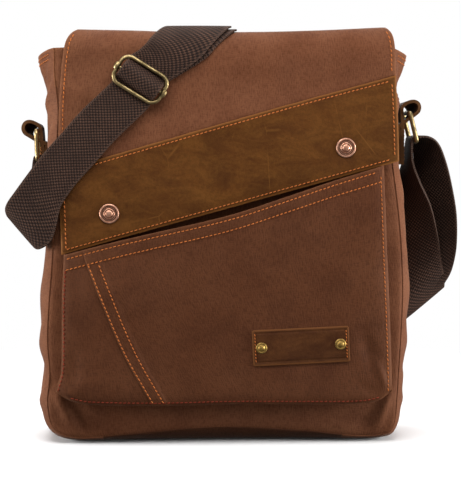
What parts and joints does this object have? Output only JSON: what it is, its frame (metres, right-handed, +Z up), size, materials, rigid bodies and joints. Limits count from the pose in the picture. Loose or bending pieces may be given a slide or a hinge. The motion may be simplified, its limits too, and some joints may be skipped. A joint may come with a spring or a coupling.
{
  "type": "messenger bag",
  "caption": "Canvas messenger bag with a slanted leather-edged flap, snaps, a deep front pocket and a doubled adjustable webbing strap on side rings.",
  "frame": {"origin": "centre of the base panel's underside, where the bag stands", "axes": "+Z up, -Y out of the front, +X to the right seen from the front"},
  "size_m": [0.3888, 0.1167, 0.3529],
  "materials": {
    "canvas": "waxed cotton canvas, reddish brown, matt",
    "lining": "plain cotton twill, khaki brown",
    "leather": "oiled pull-up leather, mottled tan",
    "webbing": "heavy cotton webbing, espresso brown",
    "antique_brass": "antique brass plated wire, worn bright on edges",
    "copper": "antique copper snap fasteners"
  },
  "bodies": {
    "bag": {"front_panel": "canvas", "back_panel": "canvas", "left_gusset": "canvas", "right_gusset": "canvas", "base_panel": "canvas", "lining": "lining", "inner_pocket": "lining", "pocket_main_panel": "canvas", "pocket_side_panel": "canvas", "pocket_gusset": "canvas", "label_patch": "leather", "label_rivets": "antique_brass", "label_rivet_backs": "antique_brass", "snap_studs": "copper", "snap_stud_backs": "copper", "flap_root": "canvas", "left_tab": "leather", "right_tab": "leather", "strap_left": "webbing", "strap_back": "webbing"},
    "flap": {"flap_canvas": "canvas", "flap_lining": "lining", "flap_band": "leather", "snap_caps": "copper", "snap_sockets": "copper", "strap_front": "webbing", "strap_under": "webbing"},
    "left_ring": {"left_ring": "antique_brass"},
    "right_ring": {"right_ring": "antique_brass"},
    "slider": {"slider_frame": "antique_brass", "slider_bar": "antique_brass"}
  },
  "joints": [
    {"name": "flap_hinge", "type": "hinge", "parent": "bag", "child": "flap", "pos_m": [0, 0.044, 0.3436], "axis": [-1, 0, 0], "range_deg": [0, 110], "deforming": ["strap_left", "strap_back"]},
    {"name": "left_ring_swing", "type": "hinge", "parent": "bag", "child": "left_ring", "pos_m": [-0.157, 0, 0.2635], "axis": [0, 1, 0], "range_deg": [0, 60], "deforming": ["strap_left"]},
    {"name": "right_ring_swing", "type": "hinge", "parent": "bag", "child": "right_ring", "pos_m": [0.16, 0, 0.2784], "axis": [0, -1, 0], "range_deg": [-12, 45], "deforming": ["strap_back"]},
    {"name": "slider_slide", "type": "slide", "parent": "flap", "child": "slider", "axis": [-0.5878, 0, -0.809], "range_m": [-0.012, 0.012], "deforming": ["strap_front", "strap_under"]}
  ]
}
